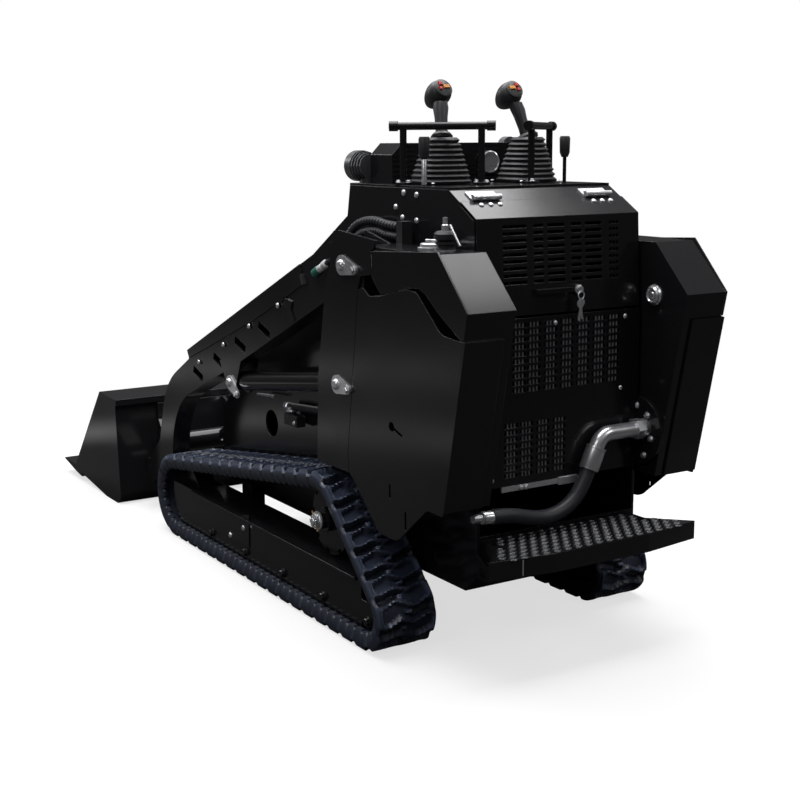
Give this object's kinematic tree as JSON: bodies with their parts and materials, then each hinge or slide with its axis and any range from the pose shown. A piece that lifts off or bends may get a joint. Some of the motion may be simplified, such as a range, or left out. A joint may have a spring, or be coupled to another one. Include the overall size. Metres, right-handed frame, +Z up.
{
  "type": "stand-on compact track loader",
  "caption": "Small stand-on rubber-tracked loader with lift arms, a digging bucket, side tanks, joystick controls and an operator's step at the back.",
  "frame": {"origin": "On the ground under the middle of the machine's overall box.", "axes": "+X forward to the bucket, +Y to the operator's left, +Z up."},
  "size_m": [2.746, 0.916, 1.4491],
  "materials": {
    "black_paint": "satin black powder coat over steel plate",
    "track_rubber": "moulded dark rubber",
    "boot_rubber": "soft black rubber and moulded grip",
    "rod_chrome": "ground and chromed",
    "engine_iron": "cast and painted dark",
    "zinc_steel": "bright zinc plate",
    "bare_steel": "satin turned steel",
    "hose_rubber": "braided hydraulic hose",
    "lamp_shell": "grey lamp shell"
  },
  "bodies": {
    "chassis": {"chassis_frame": "black_paint", "console": "black_paint", "control_deck": "black_paint", "cowl": "black_paint", "engine_block": "engine_iron", "hand_bar_left": "black_paint", "hand_bar_right": "black_paint", "hatch_hinges": "zinc_steel", "hose_fittings": "zinc_steel", "idlers_left": "black_paint", "idlers_right": "black_paint", "joystick_left": "boot_rubber", "joystick_right": "boot_rubber", "oil_elbow": "bare_steel", "platform": "black_paint", "pod_caps": "zinc_steel", "pod_cover": "black_paint", "pod_guard_left": "black_paint", "pod_guard_right": "black_paint", "pod_hose_inner": "hose_rubber", "pod_hose_outer": "hose_rubber", "rear_hose": "hose_rubber", "rear_panel": "black_paint", "rear_rail": "zinc_steel", "rollers_left": "black_paint", "rollers_right": "black_paint", "side_levers": "black_paint", "sprocket_left": "black_paint", "sprocket_right": "black_paint", "tank_pod_left": "black_paint", "tank_pod_right": "black_paint", "tower_left": "black_paint", "tower_pins": "zinc_steel", "tower_right": "black_paint", "track_frame_left": "black_paint", "track_frame_right": "black_paint", "track_left": "track_rubber", "track_right": "track_rubber", "work_lamps": "lamp_shell"},
    "boom": {"arm_cover_left": "black_paint", "arm_cover_right": "black_paint", "arm_left": "black_paint", "arm_right": "black_paint", "cross_tubes": "black_paint", "ear_pins": "zinc_steel"},
    "lift_barrel_left": {"lift_barrel_left": "black_paint"},
    "lift_barrel_right": {"lift_barrel_right": "black_paint"},
    "lift_rod_left": {"lift_rod_left": "rod_chrome"},
    "lift_rod_right": {"lift_rod_right": "rod_chrome"},
    "tilt_barrel": {"tilt_barrel": "black_paint"},
    "tilt_rod": {"tilt_rod": "rod_chrome"},
    "bucket": {"bucket": "black_paint", "coupler": "black_paint", "cutting_edge": "black_paint"},
    "rear_hatch": {"hatch_latch": "zinc_steel", "rear_hatch": "black_paint"}
  },
  "joints": [
    {"name": "boom_lift", "type": "hinge", "parent": "chassis", "child": "boom", "pos_m": [-0.804, 0, 0.985], "axis": [0, -1, 0], "range_deg": [0, 69]},
    {"name": "lift_swing_left", "type": "hinge", "parent": "chassis", "child": "lift_barrel_left", "pos_m": [-0.77, 0.349, 0.669], "axis": [0, -1, 0], "range_deg": [-1, 63.36]},
    {"name": "lift_extend_left", "type": "slide", "parent": "lift_barrel_left", "child": "lift_rod_left", "axis": [0.9897, 0, -0.1434], "range_m": [-0.002, 0.3483]},
    {"name": "lift_swing_right", "type": "hinge", "parent": "chassis", "child": "lift_barrel_right", "pos_m": [-0.77, -0.349, 0.669], "axis": [0, -1, 0], "range_deg": [-1, 63.36]},
    {"name": "lift_extend_right", "type": "slide", "parent": "lift_barrel_right", "child": "lift_rod_right", "axis": [0.9897, 0, -0.1434], "range_m": [-0.002, 0.3483]},
    {"name": "bucket_tilt", "type": "hinge", "parent": "boom", "child": "bucket", "pos_m": [0.665, 0, 0.14], "axis": [0, -1, 0], "range_deg": [-109, 20]},
    {"name": "tilt_swing", "type": "hinge", "parent": "boom", "child": "tilt_barrel", "pos_m": [0.28, 0, 0.598], "axis": [0, -1, 0], "range_deg": [-8.58, 2.39]},
    {"name": "tilt_extend", "type": "slide", "parent": "tilt_barrel", "child": "tilt_rod", "axis": [0.7963, 0, -0.6049], "range_m": [-0.0469, 0.2422]},
    {"name": "rear_hatch_open", "type": "hinge", "parent": "chassis", "child": "rear_hatch", "pos_m": [-1.11778, 0, 1.16195], "axis": [0, 1, 0], "range_deg": [0, 75]}
  ],
  "couplings": [
    {"joint": "lift_swing_left", "follows": "boom_lift", "ratio": 0.90375},
    {"joint": "lift_extend_left", "follows": "boom_lift", "m_per_rad": 0.28669},
    {"joint": "lift_swing_right", "follows": "boom_lift", "ratio": 0.90375},
    {"joint": "lift_extend_right", "follows": "boom_lift", "m_per_rad": 0.28669},
    {"joint": "tilt_swing", "follows": "bucket_tilt", "ratio": 0.069499},
    {"joint": "tilt_extend", "follows": "bucket_tilt", "m_per_rad": -0.12571}
  ]
}
